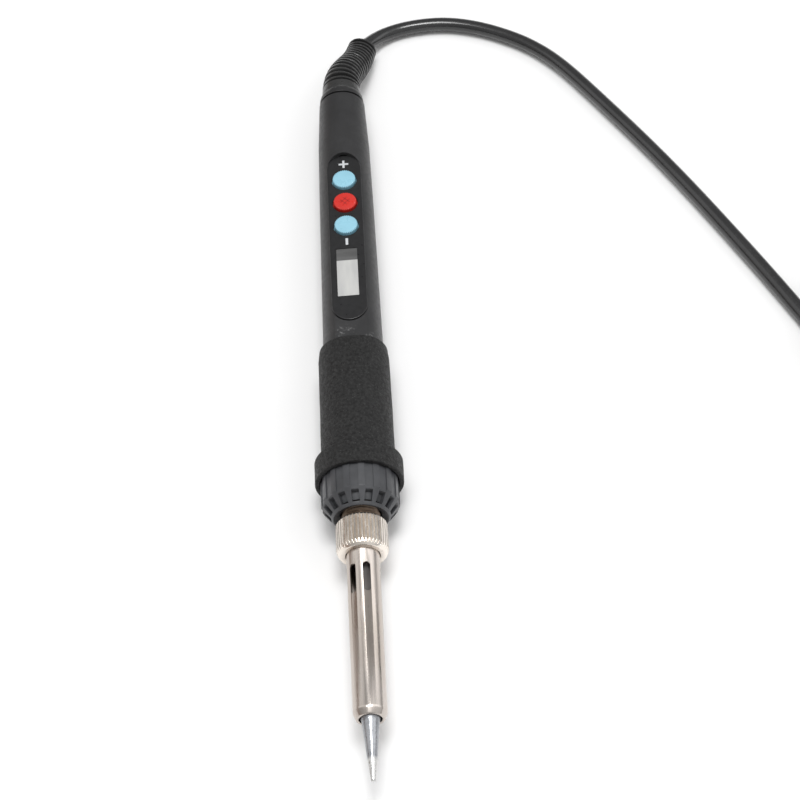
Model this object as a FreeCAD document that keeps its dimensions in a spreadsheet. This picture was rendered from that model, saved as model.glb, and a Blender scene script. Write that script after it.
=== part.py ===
import FreeCAD, Part
import Sketcher
import math
import os

# A pencil-shaped mains soldering iron with a small display and three buttons in its handle.
#
# Sub-parts of the iron are drawn in the axis frame: the iron's axis is the Y axis, y = 0 is the very end of
# the tip, y grows towards the cord, and +Z points out of the middle of the control panel. Their Placement
# then moves them into the row frame, which stands on the surface under the middle of the iron.
# Everything is in millimetres.

Vector = FreeCAD.Vector
Rotation = FreeCAD.Rotation
Placement = FreeCAD.Placement

ALONG_Y = Rotation(Vector(1, 0, 0), -90)
ALONG_X = Rotation(Vector(0, 1, 0), 90)
UPRIGHT = Rotation()
ORIGIN = Vector(0, 0, 0)
BACK = Vector(0, 1, 0)

# name, size in mm (or a count, or degrees where it says so), what it is
DRIVING_SIZES = [
    ("half_length", 108.5, "half of tip to strain relief"),
    ("flange_r", 11.45, "grip flange, which the iron lies on"),
    ("tip_point_r", 0.35, "blunt end of the tip"),
    ("tip_nose_r", 0.65, "tip cone, small end"),
    ("tip_nose", 0.5, "length of the rounded point"),
    ("tip_cone_r", 2.2, "tip cone, large end"),
    ("tip_cone", 15.5, "end of the cone"),
    ("tip_collar_r", 2.65, "tip collar in the tube's mouth"),
    ("tip_shoulder", 18.2, "shoulder behind the tube's lip"),
    ("tip_shank_r", 3.25, "tip shank"),
    ("tip_shank", 42.0, "end of the shank"),
    ("tip_bore_r", 2.05, "bore for the heater"),
    ("tip_bore", 20.2, "bottom of the bore"),
    ("tube_r", 4.22, "sleeve tube"),
    ("tube_wall", 0.4, "its wall"),
    ("tube_mouth_r", 2.85, "hole that the tip comes out of"),
    ("tube_front", 16.0, "front of the tube"),
    ("tube_corner", 1.2, "swaged corner, across"),
    ("tube_swage", 2.0, "swaged corner, along"),
    ("tube_flange_r", 4.95, "flange under the nut"),
    ("tube_flange", 63.1, "front of that flange"),
    ("tube_rear", 63.8, "rear of the tube"),
    ("slot_front", 49.2, "vent slots in the tube"),
    ("slot_rear", 57.5, "their rear ends"),
    ("slot_width", 1.9, "their width"),
    ("slot_step", 51.4, "degrees between slots of a group of three"),
    ("slot_first", 14.0, "degrees from the top to the last slot of the first group"),
    ("nut_r", 6.6, "nut over its ridges"),
    ("nut_groove", 0.3, "depth of the straight knurl"),
    ("nut_ridges", 44.0, "number of ridges"),
    ("nut_front", 61.4, "front of the nut"),
    ("nut_lip", 62.9, "rear of its front lip"),
    ("nut_rear", 70.8, "rear of the nut"),
    ("nut_bore_r", 4.4, "bore round the tube"),
    ("nut_thread_r", 5.15, "threaded bore"),
    ("nut_bevel", 0.6, "bevel on both ends"),
    ("neck_r", 5.0, "threaded neck, M10 x 1"),
    ("neck_front", 64.0, "front of the neck"),
    ("socket_flange_r", 7.9, "socket flange inside the nose"),
    ("socket_flange", 81.6, "front of that flange"),
    ("socket_flange_rear", 82.8, "rear of that flange"),
    ("socket_r", 5.5, "socket behind the flange"),
    ("socket_rear", 95.5, "rear of the socket"),
    ("heater_r", 1.85, "ceramic heater"),
    ("heater_front", 22.0, "front of the heater"),
    ("heater_rear", 90.0, "rear of the heater"),
    ("heater_gap", 0.1, "gap round the heater in the socket"),
    ("nose_rim_r", 7.1, "nose collar at its front rim"),
    ("nose_mouth_r", 5.3, "mouth in its dished front"),
    ("nose_front", 72.3, "front rim"),
    ("nose_dish", 0.9, "depth of the dish"),
    ("nose_lip", 74.0, "rear of the mouth's lip"),
    ("nose_lip_r", 6.8, "start of the inner taper behind the lip"),
    ("nose_r", 10.02, "nose collar over its pads"),
    ("nose_shoulder", 76.2, "end of the taper"),
    ("nose_inner_r", 8.9, "inside of the straight part"),
    ("nose_inner_shoulder", 76.6, "inside end of the taper"),
    ("nose_rear", 84.3, "rear face against the handle"),
    ("nose_wall", 82.9, "front of the rear wall"),
    ("spigot_r", 6.7, "spigot in the handle"),
    ("spigot_bore_r", 5.6, "bore of the spigot"),
    ("spigot_rear", 92.0, "rear of the spigot"),
    ("window_count", 16.0, "windows round the taper"),
    ("window_first", -4.5, "degrees from the top to the first window"),
    ("window_width", 1.95, "width of a window"),
    ("window_front", 73.0, "front of a window"),
    ("window_rear", 75.5, "rear of a window"),
    ("pad_gap", 2.2, "flat between two pads, in line with a window"),
    ("pad_depth", 0.3, "depth of that flat"),
    ("liner_gap", 0.15, "gap between nose and liner"),
    ("liner_wall", 0.6, "liner wall"),
    ("grip_front", 82.8, "front of the grip"),
    ("grip_recess_r", 10.3, "recess round the nose pads"),
    ("grip_recess", 84.6, "depth of that recess"),
    ("flange_rear", 89.3, "rear of the flange"),
    ("flange_bevel", 0.3, "edge of the flange"),
    ("grip_r", 9.6, "grip behind the flange"),
    ("grip_waist_r", 9.42, "grip near its rear end"),
    ("grip_round", 121.5, "where its rear end starts to round"),
    ("grip_rear", 124.5, "rear of the grip"),
    ("grip_end_r", 8.4, "edge of the grip's rear end"),
    ("grip_bore_r", 8.02, "bore round the handle"),
    ("handle_front", 84.6, "front of the handle"),
    ("handle_r", 8.0, "handle under the grip"),
    ("handle_taper", 127.0, "where the taper starts"),
    ("handle_mid_r", 7.48, "handle in the middle"),
    ("handle_mid", 177.0, "its station"),
    ("handle_end_r", 7.2, "handle before its last taper"),
    ("handle_end", 196.0, "its station"),
    ("handle_rear_r", 6.48, "handle at its rear end"),
    ("handle_rear", 212.3, "rear of the handle"),
    ("handle_wall", 1.2, "handle wall"),
    ("collar_rear", 215.4, "rear of the rear collar"),
    ("collar_r", 6.3, "collar, front"),
    ("collar_rear_r", 5.95, "collar, rear"),
    ("collar_bore_r", 4.7, "bore for the strain relief"),
    ("joint_gap", 0.05, "gap at a glued or pressed joint"),
    ("panel_mid", 159.1, "middle of the panel along the iron"),
    ("panel_height", 6.44, "panel face above the axis there"),
    ("panel_tilt", 0.85, "degrees that the panel falls to the rear"),
    ("recess_length", 58.8, "panel recess"),
    ("recess_width", 9.6, "its width"),
    ("plate_depth", 0.6, "thickness of the panel plate"),
    ("floor_depth", 0.8, "handle wall under the plate"),
    ("facet_length", 78.0, "flat on the handle's top, from under the grip to the rear of the recess"),
    ("floor_length", 82.0, "length of the flat inner floor"),
    ("floor_mid", -8.0, "its middle, before the middle of the panel"),
    ("button_r", 3.2, "button"),
    ("button_hole_r", 3.35, "its hole"),
    ("button_flange_r", 3.75, "flange under the floor"),
    ("button_flange", 0.5, "thickness of that flange"),
    ("button_rise", 0.9, "button above the panel"),
    ("button_crown_r", 2.9, "start of its crown"),
    ("button_crown", 0.15, "height of its crown"),
    ("button_base", 2.0, "button's underside below the panel"),
    ("button_step", 8.25, "button pitch"),
    ("button_first", 3.85, "nearest button behind the middle"),
    ("display_length", 16.4, "window opening"),
    ("display_width", 6.1, "its width"),
    ("display_mid", -12.3, "its middle, before the middle of the panel"),
    ("board_top", 4.0, "circuit board below the panel"),
    ("board_depth", 1.0, "its thickness"),
    ("board_width", 10.6, "its width"),
    ("board_front", -28.0, "its front end, from the middle"),
    ("board_length", 60.0, "its length"),
    ("boss_r", 1.6, "screw boss"),
    ("boss_front", -25.1, "front boss"),
    ("boss_rear", 27.2, "rear boss"),
    ("screw_r", 0.75, "board screw"),
    ("cord_r", 2.3, "mains cord"),
    ("relief_r", 5.55, "strain relief at the collar"),
    ("relief_start", 217.0, "where its curve starts"),
    ("relief_end_r", 4.4, "strain relief at its end"),
    ("rib_count", 15.0, "ribs on the strain relief"),
    ("coil_mid_r", 25.0, "coil at the middle of its turns"),
    ("coil_width", 13.8, "coil section, three cords wide"),
    ("coil_height", 13.8, "coil section, three cords high"),
    ("plug_width", 35.3, "plug across its pins"),
    ("plug_depth", 14.0, "plug thickness"),
    ("pin_r", 2.0, "plug pin"),
    ("pin_length", 19.0, "its length"),
    ("pin_spacing", 19.0, "between the pins"),
]


class Size:
    """A size with the spreadsheet expression that it comes from."""

    def __init__(self, value, text):
        self.value = value
        self.text = text

    def __add__(self, other):
        other = as_size(other)
        return Size(self.value + other.value, "(%s + %s)" % (self.text, other.text))

    def __radd__(self, other):
        return as_size(other) + self

    def __sub__(self, other):
        other = as_size(other)
        return Size(self.value - other.value, "(%s - %s)" % (self.text, other.text))

    def __rsub__(self, other):
        return as_size(other) - self

    def __mul__(self, other):
        other = as_size(other)
        return Size(self.value * other.value, "(%s * %s)" % (self.text, other.text))

    def __rmul__(self, other):
        return as_size(other) * self

    def __truediv__(self, other):
        other = as_size(other)
        return Size(self.value / other.value, "(%s / %s)" % (self.text, other.text))

    def __neg__(self):
        return 0 - self


def as_size(number):
    if isinstance(number, Size):
        return number
    return Size(float(number), "%g" % number)


doc = FreeCAD.newDocument("soldering_iron")
sheet = doc.addObject("Spreadsheet::Sheet", "sizes")
size = {}
for row, (alias, value, meaning) in enumerate(DRIVING_SIZES, start=1):
    sheet.set("A%d" % row, alias)
    sheet.set("B%d" % row, "%g" % value)
    sheet.set("C%d" % row, meaning)
    sheet.setAlias("B%d" % row, alias)
    size[alias] = Size(value, "sizes.%s" % alias)
doc.recompute()


# ---------------------------------------------------------------- frames

to_row = Placement(Vector(0, -size["half_length"].value, size["flange_r"].value), UPRIGHT)
to_axis = Placement(Vector(0, size["panel_mid"].value, size["panel_height"].value),
                    Rotation(Vector(1, 0, 0), -size["panel_tilt"].value))
panel_to_row = to_row * to_axis


def put(piece, x=0, y=0, z=0, turn=UPRIGHT):
    """Place a primitive, binding each coordinate that comes from the sheet."""
    place = [as_size(x), as_size(y), as_size(z)]
    piece.Placement = Placement(Vector(*[number.value for number in place]), turn)
    for letter, number in zip("xyz", place):
        if "sizes." in number.text:
            piece.setExpression("Placement.Base.%s" % letter, number.text)
    return piece


def bind(piece, name, number):
    number = as_size(number)
    setattr(piece, name, number.value)
    if "sizes." in number.text:
        piece.setExpression(name, number.text)


# ---------------------------------------------------------------- shapes

def cylinder(name, radius, height, x=0, y=0, z=0, turn=UPRIGHT):
    piece = doc.addObject("Part::Cylinder", name)
    bind(piece, "Radius", radius)
    bind(piece, "Height", height)
    return put(piece, x, y, z, turn)


def cone(name, radius, end_radius, height, x=0, y=0, z=0, turn=UPRIGHT):
    piece = doc.addObject("Part::Cone", name)
    bind(piece, "Radius1", radius)
    bind(piece, "Radius2", end_radius)
    bind(piece, "Height", height)
    return put(piece, x, y, z, turn)


def block(name, wide, long, high, x=0, y=0, z=0):
    """A box centred on x and y, standing on z."""
    piece = doc.addObject("Part::Box", name)
    bind(piece, "Length", wide)
    bind(piece, "Width", long)
    bind(piece, "Height", high)
    return put(piece, x - as_size(wide) / 2, y - as_size(long) / 2, z)


def cut(name, base, tool):
    piece = doc.addObject("Part::Cut", name)
    piece.Base = base
    piece.Tool = tool
    return piece


def fuse(name, pieces):
    piece = doc.addObject("Part::MultiFuse", name)
    piece.Shapes = pieces
    piece.Refine = True
    return piece


def group(name, pieces):
    piece = doc.addObject("Part::Compound", name)
    piece.Links = pieces
    return piece


def shaped(name, shape):
    piece = doc.addObject("Part::Feature", name)
    piece.Shape = shape
    return piece


def moved(piece, place):
    """Add a frame in front of a primitive's own place, for tools that are drawn in the panel frame."""
    doc.recompute()
    return shaped(piece.Name + "_placed", piece.Shape.transformed(place.toMatrix()))


def origin_plane(body, role):
    for feature in body.Origin.OriginFeatures:
        if feature.Role == role:
            return feature
    raise ValueError("no origin plane called " + role)


def drawn(body, name, role, outline):
    """A closed sketch through (across, along) points, each bound to the sheet."""
    sketch = body.newObject("Sketcher::SketchObject", name)
    sketch.AttachmentSupport = [(origin_plane(body, role), "")]
    sketch.MapMode = "FlatFace"
    points = [(as_size(across), as_size(along)) for across, along in outline]
    corners = [Vector(across.value, along.value, 0) for across, along in points]
    count = len(points)
    for number in range(count):
        sketch.addGeometry(Part.LineSegment(corners[number], corners[(number + 1) % count]), False)
    for number, (across, along) in enumerate(points):
        sketch_join(sketch, number, (number + 1) % count)
        sketch_size(sketch, number, "DistanceX", across, -2)
        sketch_size(sketch, number, "DistanceY", along, -1)
    return sketch


def sketch_join(sketch, first, second):
    sketch.addConstraint(Sketcher.Constraint("Coincident", first, 2, second, 1))


def sketch_size(sketch, line, kind, number, axis):
    """Fix one coordinate of the start of a line: on the axis if it is zero, else by a bound distance."""
    if number.value == 0:
        sketch.addConstraint(Sketcher.Constraint("PointOnObject", line, 1, axis))
        return
    index = sketch.addConstraint(Sketcher.Constraint(kind, -1, 1, line, 1, number.value))
    if "sizes." in number.text:
        sketch.setExpression("Constraints[%d]" % index, number.text)


def turned(name, outline, plane="XY_Plane"):
    """A solid of revolution from (radius, station) points, about the plane's vertical axis."""
    body = doc.addObject("PartDesign::Body", name)
    sketch = drawn(body, name + "_outline", plane, outline)
    turn = body.newObject("PartDesign::Revolution", name + "_turn")
    turn.Profile = sketch
    turn.ReferenceAxis = (sketch, ["V_Axis"])
    turn.Angle = 360
    sketch.Visibility = False
    return body


def padded(name, outline, length, plane="XY_Plane"):
    """A flat outline raised by a length."""
    body = doc.addObject("PartDesign::Body", name)
    sketch = drawn(body, name + "_outline", plane, outline)
    pad = body.newObject("PartDesign::Pad", name + "_pad")
    pad.Profile = sketch
    bind(pad, "Length", length)
    return body


def around(name, shape, count, first=0.0, step=None):
    """Copies of a shape round the iron's axis; angles in degrees from the top, to the right."""
    pitch = 360.0 / count if step is None else step
    copies = []
    for number in range(count):
        copy = shape.copy()
        copy.rotate(ORIGIN, BACK, first + pitch * number)
        copies.append(copy)
    return shaped(name, Part.makeCompound(copies))


def stadium(name, wide, long, high, z, middle=0):
    """A flat bar with round ends along Y, standing on z."""
    wide = as_size(wide)
    end = (as_size(long) - wide) / 2
    return fuse(name, [
        block(name + "_bar", wide, 2 * end, high, 0, middle, z),
        cylinder(name + "_front", wide / 2, high, 0, middle - end, z),
        cylinder(name + "_rear", wide / 2, high, 0, middle + end, z),
    ])


nodes = {}


def node(name, piece, place):
    piece.Label = name
    piece.Placement = place
    nodes[name] = piece


# ---------------------------------------------------------------- tip, tube and nut

def make_tip():
    tip = turned("tip", [
        (0, 0),
        (size["tip_point_r"], 0),
        (size["tip_nose_r"], size["tip_nose"]),
        (size["tip_cone_r"], size["tip_cone"]),
        (size["tip_collar_r"], size["tip_cone"] + 1.2),
        (size["tip_collar_r"], size["tip_shoulder"]),
        (size["tip_shank_r"], size["tip_shoulder"] + 0.6),
        (size["tip_shank_r"], size["tip_shank"]),
        (size["tip_bore_r"], size["tip_shank"]),
        (size["tip_bore_r"], size["tip_bore"]),
        (0, size["tip_bore"] - 1.0),
    ])
    node("soldering_tip", tip, to_row)


def make_tube():
    inner = size["tube_r"] - size["tube_wall"]
    corner = size["tube_corner"]
    swage = size["tube_swage"]
    front = size["tube_front"]
    # The swaged corner is a quarter of an oval, drawn as three bevels.
    shell = turned("tube_shell", [
        (size["tube_mouth_r"], front),
        (size["tube_r"] - corner, front),
        (size["tube_r"] - corner * 0.5, front + swage * 0.13),
        (size["tube_r"] - corner * 0.13, front + swage * 0.5),
        (size["tube_r"], front + swage),
        (size["tube_r"], size["tube_flange"]),
        (size["tube_flange_r"], size["tube_flange"]),
        (size["tube_flange_r"], size["tube_rear"]),
        (inner, size["tube_rear"]),
        (inner, front + swage),
        (inner - corner * 0.13, front + swage * 0.6),
        (inner - corner * 0.5, front + swage * 0.33),
        (size["tube_mouth_r"], front + size["tube_wall"]),
    ])
    width = size["slot_width"]
    ahead = size["slot_front"] + width / 2
    behind = size["slot_rear"] - width / 2
    slot = fuse("slot", [
        block("slot_bar", width, behind - ahead, size["tube_r"], 0, (ahead + behind) / 2, 2.0),
        cylinder("slot_front_end", width / 2, size["tube_r"], 0, ahead, 2.0),
        cylinder("slot_rear_end", width / 2, size["tube_r"], 0, behind, 2.0),
    ])
    doc.recompute()
    step = size["slot_step"].value
    first = size["slot_first"].value - 2 * step
    slots = group("slots", [
        around("slots_left", slot.Shape, 3, first, step),
        around("slots_right", slot.Shape, 3, first + 180, step),
    ])
    node("sleeve_tube", cut("tube", shell, slots), to_row)


def make_nut():
    bevel = size["nut_bevel"]
    core = turned("nut_core", [
        (size["nut_bore_r"], size["nut_front"]),
        (size["nut_r"] - bevel, size["nut_front"]),
        (size["nut_r"], size["nut_front"] + bevel),
        (size["nut_r"], size["nut_rear"] - bevel / 2),
        (size["nut_r"] - bevel / 2, size["nut_rear"]),
        (size["nut_thread_r"], size["nut_rear"]),
        (size["nut_thread_r"], size["nut_lip"]),
        (size["nut_bore_r"], size["nut_lip"]),
    ])
    groove = size["nut_groove"].value
    edge = size["nut_r"].value
    ridges = int(size["nut_ridges"].value)
    half_width = 0.3 * math.pi * edge / ridges
    length = size["nut_rear"].value - size["nut_front"].value + 2
    corners = [
        Vector(0, 0, edge - groove),
        Vector(-half_width * 2, 0, edge + groove),
        Vector(half_width * 2, 0, edge + groove),
        Vector(0, 0, edge - groove),
    ]
    wedge = Part.Face(Part.makePolygon(corners)).extrude(Vector(0, length, 0))
    wedge.translate(Vector(0, size["nut_front"].value - 1, 0))
    node("barrel_nut", cut("nut", core, around("nut_grooves", wedge, ridges)), to_row)


# ---------------------------------------------------------------- heater and nose

def make_heater():
    heater = cylinder("heater", size["heater_r"], size["heater_rear"] - size["heater_front"], turn=ALONG_Y)
    node("heater_element", heater, to_row * Placement(Vector(0, size["heater_front"].value, 0), ALONG_Y))
    bore = size["heater_r"] + size["heater_gap"]
    socket = turned("socket", [
        (bore, size["neck_front"]),
        (size["neck_r"] - 0.4, size["neck_front"]),
        (size["neck_r"], size["neck_front"] + 0.4),
        (size["neck_r"], size["socket_flange"]),
        (size["socket_flange_r"], size["socket_flange"]),
        (size["socket_flange_r"], size["socket_flange_rear"]),
        (size["socket_r"], size["socket_flange_rear"]),
        (size["socket_r"], size["socket_rear"]),
        (bore, size["socket_rear"]),
    ])
    node("heater_socket", socket, to_row)


def make_nose():
    shell = turned("nose_shell", [
        (size["nose_mouth_r"], size["nose_front"] + size["nose_dish"]),
        (size["nose_rim_r"] - 0.15, size["nose_front"]),
        (size["nose_rim_r"], size["nose_front"]),
        (size["nose_r"], size["nose_shoulder"]),
        (size["nose_r"], size["nose_rear"]),
        (size["spigot_r"], size["nose_rear"]),
        (size["spigot_r"], size["spigot_rear"]),
        (size["spigot_bore_r"], size["spigot_rear"]),
        (size["spigot_bore_r"], size["nose_wall"]),
        (size["nose_inner_r"], size["nose_wall"]),
        (size["nose_inner_r"], size["nose_inner_shoulder"]),
        (size["nose_lip_r"], size["nose_lip"]),
        (size["nose_mouth_r"], size["nose_lip"]),
    ])
    count = int(size["window_count"].value)
    first = size["window_first"].value
    window = block("window", size["window_width"], size["window_rear"] - size["window_front"], 6,
                   0, (size["window_front"] + size["window_rear"]) / 2, size["nose_lip_r"] - 0.6)
    groove = block("pad_groove", size["pad_gap"], 9, 1, 0, size["nose_shoulder"] + 4.7,
                   size["nose_r"] - size["pad_depth"])
    doc.recompute()
    openings = group("nose_openings", [
        around("windows", window.Shape, count, first),
        around("pad_grooves", groove.Shape, count, first),
    ])
    node("nose_collar", cut("nose", shell, openings), to_row)
    gap = size["liner_gap"]
    wall = size["liner_wall"]
    liner = turned("liner", [
        (size["nose_lip_r"] - gap - wall, size["nose_lip"] + 0.4),
        (size["nose_lip_r"] - 2 * gap, size["nose_lip"] + gap),
        (size["nose_inner_r"] - gap, size["nose_inner_shoulder"] + gap),
        (size["nose_inner_r"] - gap, size["nose_wall"] - gap),
        (size["nose_inner_r"] - gap - wall, size["nose_wall"] - gap),
        (size["nose_inner_r"] - gap - wall, size["nose_inner_shoulder"] + 0.4),
    ])
    node("nose_liner", liner, to_row)


# ---------------------------------------------------------------- grip and handle

def make_grip():
    bevel = size["flange_bevel"]
    grip = turned("grip", [
        (size["grip_recess_r"], size["grip_front"]),
        (size["flange_r"] - bevel, size["grip_front"]),
        (size["flange_r"], size["grip_front"] + bevel),
        (size["flange_r"], size["flange_rear"] - bevel),
        (size["flange_r"] - bevel, size["flange_rear"]),
        (size["grip_r"], size["flange_rear"]),
        (size["grip_waist_r"], size["grip_round"]),
        (size["grip_waist_r"] - 0.35, size["grip_rear"] - 1.1),
        (size["grip_end_r"], size["grip_rear"]),
        (size["grip_bore_r"], size["grip_rear"]),
        (size["grip_bore_r"], size["grip_recess"]),
        (size["grip_recess_r"], size["grip_recess"]),
    ])
    node("grip_sleeve", grip, to_row)


def handle_outer():
    return [
        (size["handle_r"], size["handle_front"]),
        (size["handle_r"], size["handle_taper"]),
        (size["handle_mid_r"], size["handle_mid"]),
        (size["handle_end_r"], size["handle_end"]),
        (size["handle_rear_r"], size["handle_rear"]),
    ]


def button_stations():
    return [size["button_first"] + size["button_step"] * number for number in range(3)]


def make_handle():
    wall = size["handle_wall"]
    tube = turned("handle_tube", handle_outer() + [
        (radius - wall, station) for radius, station in reversed(handle_outer())
    ])
    envelope = turned("handle_envelope", handle_outer() + [
        (0, size["handle_rear"]),
        (0, size["handle_front"]),
    ])
    plate = size["plate_depth"]
    floor = plate + size["floor_depth"]
    # The wall under the panel is flat inside and carries two bosses for the circuit board.
    slab = block("floor_slab", 16, size["floor_length"], floor + 1, 0, size["floor_mid"], -floor)
    bosses = [
        cylinder("boss_front", size["boss_r"], size["board_top"] - floor, 0, size["boss_front"],
                 -size["board_top"]),
        cylinder("boss_rear", size["boss_r"], size["board_top"] - floor, 0, size["boss_rear"],
                 -size["board_top"]),
    ]
    floor_solid = moved(fuse("floor_solid", [slab] + bosses), to_axis)
    floor_part = doc.addObject("Part::MultiCommon", "floor_part")
    floor_part.Shapes = [envelope, floor_solid]
    solid = fuse("handle_solid", [tube, floor_part])
    openings = [
        stadium("facet", size["recess_width"], size["facet_length"], 4, 0,
                (size["recess_length"] - size["facet_length"]) / 2),
        stadium("recess", size["recess_width"], size["recess_length"], 4, -plate),
        block("display_opening", size["display_width"], size["display_length"], 4, 0,
              size["display_mid"], -3),
    ]
    for number, station in enumerate(button_stations()):
        openings.append(cylinder("button_opening_%d" % number, size["button_hole_r"], 4, 0, station, -3))
    for number, station in enumerate([size["boss_front"], size["boss_rear"]]):
        openings.append(cylinder("screw_opening_%d" % number, size["screw_r"], 2.2, 0, station,
                                 -size["board_top"] - 0.1))
    cutter = moved(fuse("handle_openings", openings), to_axis)
    node("handle_body", cut("handle", solid, cutter), to_row)


def make_collar():
    gap = size["joint_gap"]
    collar = turned("collar", [
        (size["collar_bore_r"], size["handle_rear"] + gap),
        (size["collar_r"], size["handle_rear"] + gap),
        (size["collar_rear_r"], size["collar_rear"]),
        (size["collar_bore_r"], size["collar_rear"]),
    ])
    node("rear_collar", collar, to_row)


# ---------------------------------------------------------------- control panel

def make_panel():
    gap = size["joint_gap"]
    plate = size["plate_depth"]
    blank = stadium("plate", size["recess_width"] - 2 * gap, size["recess_length"] - 2 * gap,
                    plate - gap, gap - plate)
    openings = [block("plate_display", size["display_width"], size["display_length"], 4, 0,
                      size["display_mid"], -2)]
    for number, station in enumerate(button_stations()):
        openings.append(cylinder("plate_button_%d" % number, size["button_hole_r"], 4, 0, station, -2))
    node("control_panel", cut("panel", blank, fuse("plate_openings", openings)), panel_to_row)

    lens = block("lens", size["display_width"] - 2 * gap, size["display_length"] - 2 * gap, 1.25, 0,
                 size["display_mid"], -1.35)
    node("lcd_window", group("lens_group", [lens]), panel_to_row)
    module = block("module", 7.6, 19.0, 2.3, 0, size["display_mid"], -3.85)
    node("lcd_module", group("module_group", [module]), panel_to_row)


def make_buttons():
    names = ["button_down", "button_power", "button_up"]
    top = size["button_base"] + size["button_rise"]
    for name, station in zip(names, button_stations()):
        button = turned(name + "_solid", [
            (0, 0),
            (size["button_flange_r"], 0),
            (size["button_flange_r"], size["button_flange"]),
            (size["button_r"], size["button_flange"]),
            (size["button_r"], top - size["button_crown"] * 2),
            (size["button_crown_r"], top - size["button_crown"]),
            (0, top),
        ], "XZ_Plane")
        node(name, button, panel_to_row * Placement(
            Vector(0, station.value, -size["button_base"].value), UPRIGHT))


def make_electronics():
    top = size["board_top"]
    under = top + size["board_depth"]
    gap = size["joint_gap"]
    board = block("board", size["board_width"], size["board_length"], size["board_depth"], 0,
                  size["board_front"] + size["board_length"] / 2, -under)
    hole_r = size["screw_r"] + 0.15
    holes = fuse("board_holes", [
        cylinder("board_hole_front", hole_r, size["board_top"], 0, size["boss_front"], -under - 1),
        cylinder("board_hole_rear", hole_r, size["board_top"], 0, size["boss_rear"], -under - 1),
    ])
    node("circuit_board", cut("board_drilled", board, holes), panel_to_row)

    switch_side = 5.2
    switch_height = 1.05
    key_r = 1.5
    key_height = 1.45
    switches = []
    for number, station in enumerate(button_stations()):
        switches.append(fuse("switch_%d" % number, [
            block("switch_case_%d" % number, switch_side, switch_side, switch_height, 0, station, gap - top),
            cylinder("switch_key_%d" % number, key_r, key_height, 0, station, gap - top),
        ]))
    node("tactile_switches", group("switches", switches), panel_to_row)

    head_r = 1.4
    head = 0.7
    screw_length = 3.0
    screws = []
    for number, station in enumerate([size["boss_front"], size["boss_rear"]]):
        screws.append(fuse("board_screw_%d" % number, [
            cylinder("screw_head_%d" % number, head_r, head, 0, station, -under - gap - head),
            cylinder("screw_shank_%d" % number, size["screw_r"] - gap, screw_length, 0, station,
                     -under - 0.1),
        ]))
    node("board_screws", group("screws", screws), panel_to_row)

    # Components hang under the board: width, length, height and station from the middle of the panel.
    chip_wide, chip_long, chip_high, chip_station = 4.4, 6.5, 1.2, 3.0
    chip = block("chip", chip_wide, chip_long, chip_high, 0, chip_station, -under - gap - chip_high)
    node("control_chip", group("chips", [chip]), panel_to_row)
    case_wide, case_long, case_high, case_station = 6.6, 6.0, 2.6, 13.5
    tab_long, tab_thick, tab_station = 2.4, 0.6, 17.4
    triac = fuse("triac", [
        block("triac_case", case_wide, case_long, case_high, 0, case_station, -under - gap - case_high),
        block("triac_tab", case_wide, tab_long, tab_thick, 0, tab_station, -under - gap - case_high),
    ])
    node("power_triac", triac, panel_to_row)
    can_r, can_long, can_station = 2.4, 10, -17
    smoothing = cylinder("smoothing", can_r, can_long, 0, can_station, -under - 0.1 - can_r, ALONG_Y)
    node("smoothing_capacitor", group("smoothing_group", [smoothing]), panel_to_row)
    safe_wide, safe_long, safe_high, safe_station = 6.6, 5.0, 3.8, 22.2
    safety = block("safety", safe_wide, safe_long, safe_high, 0, safe_station, -under - gap - safe_high)
    node("safety_capacitor", group("safety_group", [safety]), panel_to_row)


def make_wiring():
    wire_r = 0.45
    wire_front = size["socket_rear"] + 0.1
    wire_length = 36.5
    wire_pitch = 1.6
    leads = []
    for number in range(4):
        leads.append(cylinder("heater_lead_%d" % number, wire_r, wire_length, wire_pitch * (number - 1.5),
                              wire_front, wire_r, ALONG_Y))
    node("heater_leads", group("heater_wires", leads), to_row)
    earth_x, earth_z, earth_length = -4.75, -1.6, 106.5
    earth = cylinder("earth", wire_r, earth_length, earth_x, wire_front, earth_z, ALONG_Y)
    node("earth_lead", group("earth_wire", [earth]), to_row)
    core_r, core_front, core_length, core_z = 0.6, 188.0, 14, -0.9
    cores = [cylinder("core_left", core_r, core_length, -1.0, core_front, core_z, ALONG_Y),
             cylinder("core_right", core_r, core_length, 1.0, core_front, core_z, ALONG_Y)]
    node("supply_cores", group("cores", cores), to_row)
    jacket_front = core_front + core_length + 0.05
    jacket_length = size["handle_rear"].value - 4.05 - jacket_front
    inner_cord = cylinder("inner_cord", size["cord_r"], jacket_length, 0, jacket_front, 0, ALONG_Y)
    node("cord_inner_end", group("inner_cord_group", [inner_cord]), to_row)

    station = 205.4
    bar_wide, bar_long, bar_high = 7.0, 3.6, 1.05
    screw_x = 2.95
    grip_z = size["cord_r"] + size["joint_gap"]
    bars = [block("clamp_top", bar_wide, bar_long, bar_high, 0, station, grip_z),
            block("clamp_bottom", bar_wide, bar_long, bar_high, 0, station, -grip_z - bar_high)]
    holes = []
    for side in (-1, 1):
        holes.append(cylinder("clamp_hole_%d" % (side + 1), 0.6, 10, side * screw_x, station, -5))
    clamp = cut("clamp", group("clamp_bars", bars), group("clamp_holes", holes))
    node("cord_clamp", clamp, to_row)
    screws = []
    for side in (-1, 1):
        screws.append(fuse("clamp_screw_%d" % (side + 1), [
            cylinder("clamp_shank_%d" % (side + 1), 0.55, 6.85, side * screw_x, station, -3.35),
            cylinder("clamp_head_%d" % (side + 1), 0.85, 0.45, side * screw_x, station, 3.42),
        ]))
    node("clamp_screws", group("clamp_pair", screws), to_row)


# ---------------------------------------------------------------- cord and plug, drawn in the row frame

ROW = Placement()

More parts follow.
